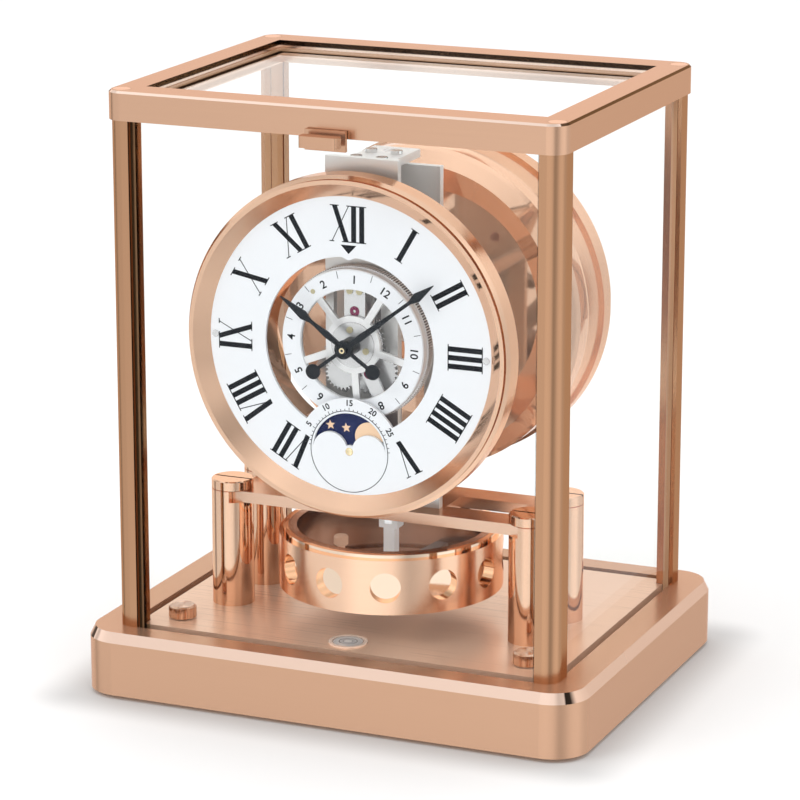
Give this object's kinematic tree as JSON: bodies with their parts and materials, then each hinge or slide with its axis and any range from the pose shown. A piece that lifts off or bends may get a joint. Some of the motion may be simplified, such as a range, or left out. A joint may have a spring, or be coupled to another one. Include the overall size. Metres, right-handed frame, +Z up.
{
  "type": "moon phase desk clock",
  "caption": "glass-cased desk clock with a torsion pendulum, bellows drum, open dial, month wheel and moon phase window",
  "frame": {"origin": "on the table, under the middle of the plinth", "axes": "X to the right as seen from the dial, Y from the dial to the back, Z up"},
  "size_m": [0.197, 0.158, 0.2265],
  "materials": {
    "rose_gold_brushed": "brushed rose gold plate",
    "rose_gold_polished": "polished rose gold plate",
    "rhodium": "brushed rhodium plate",
    "steel": "polished steel",
    "gold_screw": "polished gilt",
    "dial_white": "matte white lacquer",
    "hand_slate": "dark slate lacquer",
    "moon_blue": "dark blue lacquer",
    "clear_glass": "clear flat glass",
    "level_fluid": "tinted vial",
    "ruby": "polished ruby",
    "foot_rubber": "matte rubber"
  },
  "bodies": {
    "case": {"plinth": "rose_gold_brushed", "base_plate": "rose_gold_brushed", "top_frame": "rose_gold_brushed", "corner_posts": "rose_gold_brushed", "platform": "rose_gold_brushed", "level_cup": "rose_gold_polished", "pillars": "rose_gold_polished", "pillar_caps": "rose_gold_polished", "bezel": "rose_gold_polished", "dial_holder": "rose_gold_polished", "drum_dish": "rose_gold_polished", "drum_shell": "rose_gold_polished", "frame_screws": "rose_gold_polished", "front_plate": "rhodium", "rear_plate": "rhodium", "plate_pillars": "rhodium", "centre_bridge": "rhodium", "suspension_bracket": "rhodium", "suspension_clamp": "rhodium", "dial_posts": "rhodium", "drum_posts": "rhodium", "bellows": "rhodium", "return_spring": "steel", "winding_chain": "steel", "bracket_screws": "steel", "bridge_screws": "gold_screw", "dial_screws": "gold_screw", "dial_ring": "dial_white", "top_glass": "clear_glass", "left_glass": "clear_glass", "right_glass": "clear_glass", "rear_glass": "clear_glass", "level_vial": "level_fluid", "jewels": "ruby", "rear_feet": "foot_rubber"},
    "door": {"front_glass": "clear_glass", "door_knob": "rose_gold_polished"},
    "left_level": {"left_level_screw": "rose_gold_polished"},
    "right_level": {"right_level_screw": "rose_gold_polished"},
    "minute": {"minute_hand": "hand_slate", "centre_wheel": "rhodium"},
    "hour": {"hour_hand": "hand_slate", "hour_wheel": "rhodium"},
    "minute_gear": {"minute_wheel": "rhodium"},
    "calendar": {"calendar_gear": "rhodium"},
    "month": {"month_wheel": "rhodium", "month_ring": "dial_white"},
    "moon": {"moon_disc": "moon_blue"},
    "third": {"third_wheel": "rhodium"},
    "escape": {"escape_wheel": "steel"},
    "pallet": {"pallet_lever": "steel"},
    "barrel": {"barrel": "rhodium", "mainspring": "steel"},
    "winding": {"winding_arbor": "steel"},
    "bellows_end": {"bellows_cap": "rhodium"},
    "pendulum": {"pendulum_ring": "rose_gold_polished", "pendulum_hub": "rhodium", "pendulum_stem": "rhodium", "trim_weights": "rose_gold_polished", "torsion_wire": "steel"}
  },
  "joints": [
    {"name": "front_door", "type": "hinge", "parent": "case", "child": "door", "pos_m": [0, -0.06725, 0.0225], "axis": [1, 0, 0], "range_deg": [0, 15]},
    {"name": "left_level_turn", "type": "hinge", "parent": "case", "child": "left_level", "pos_m": [-0.069, -0.05, 0.01], "axis": [0, 0, 1], "range_deg": [-360, 360]},
    {"name": "right_level_turn", "type": "hinge", "parent": "case", "child": "right_level", "pos_m": [0.069, -0.05, 0.01], "axis": [0, 0, 1], "range_deg": [-360, 360]},
    {"name": "minute_turn", "type": "hinge", "parent": "case", "child": "minute", "pos_m": [0, -0.03, 0.1365], "axis": [0, 1, 0], "continuous": true},
    {"name": "hour_turn", "type": "hinge", "parent": "case", "child": "hour", "pos_m": [0, -0.03, 0.1365], "axis": [0, 1, 0], "continuous": true},
    {"name": "minute_gear_turn", "type": "hinge", "parent": "case", "child": "minute_gear", "pos_m": [0.00545, -0.03, 0.12581], "axis": [0, 1, 0], "continuous": true},
    {"name": "calendar_turn", "type": "hinge", "parent": "case", "child": "calendar", "pos_m": [-0.00613, -0.03, 0.12447], "axis": [0, 1, 0], "continuous": true},
    {"name": "month_turn", "type": "hinge", "parent": "case", "child": "month", "pos_m": [0, -0.03, 0.1365], "axis": [0, 1, 0], "continuous": true},
    {"name": "moon_turn", "type": "hinge", "parent": "case", "child": "moon", "pos_m": [0, -0.03, 0.0975], "axis": [0, 1, 0], "continuous": true},
    {"name": "third_turn", "type": "hinge", "parent": "case", "child": "third", "pos_m": [0, -0.03, 0.1485], "axis": [0, 1, 0], "continuous": true},
    {"name": "escape_turn", "type": "hinge", "parent": "case", "child": "escape", "pos_m": [0.01039, -0.03, 0.1545], "axis": [0, 1, 0], "continuous": true},
    {"name": "barrel_turn", "type": "hinge", "parent": "case", "child": "barrel", "pos_m": [-0.00677, -0.03, 0.11789], "axis": [0, 1, 0], "continuous": true},
    {"name": "pallet_rock", "type": "hinge", "parent": "case", "child": "pallet", "pos_m": [0.01039, -0.03, 0.1675], "axis": [0, 1, 0], "range_deg": [-4, 4]},
    {"name": "bellows_slide", "type": "slide", "parent": "case", "child": "bellows_end", "axis": [0, 1, 0], "range_m": [-0.0015, 0.0015], "stiffness_N_per_m": 500, "deforming": ["bellows", "return_spring", "winding_chain"]},
    {"name": "winding_turn", "type": "hinge", "parent": "case", "child": "winding", "pos_m": [-0.00677, -0.03, 0.11789], "axis": [0, 1, 0], "range_deg": [-20, 20]},
    {"name": "pendulum_turn", "type": "hinge", "parent": "case", "child": "pendulum", "pos_m": [0, -0.013, 0.05], "axis": [0, 0, 1], "range_deg": [-270, 270], "stiffness_Nm_per_rad": 0.000003}
  ],
  "couplings": [
    {"joint": "hour_turn", "follows": "minute_turn", "ratio": 0.083333},
    {"joint": "minute_gear_turn", "follows": "minute_turn", "ratio": -0.33333},
    {"joint": "calendar_turn", "follows": "minute_turn", "ratio": -0.10417},
    {"joint": "month_turn", "follows": "minute_turn", "ratio": 0.00011408},
    {"joint": "moon_turn", "follows": "minute_turn", "ratio": 0.00070547},
    {"joint": "third_turn", "follows": "minute_turn", "ratio": -2},
    {"joint": "escape_turn", "follows": "minute_turn", "ratio": 4},
    {"joint": "barrel_turn", "follows": "minute_turn", "ratio": -0.125},
    {"joint": "winding_turn", "follows": "bellows_slide", "rad_per_m": -204}
  ]
}
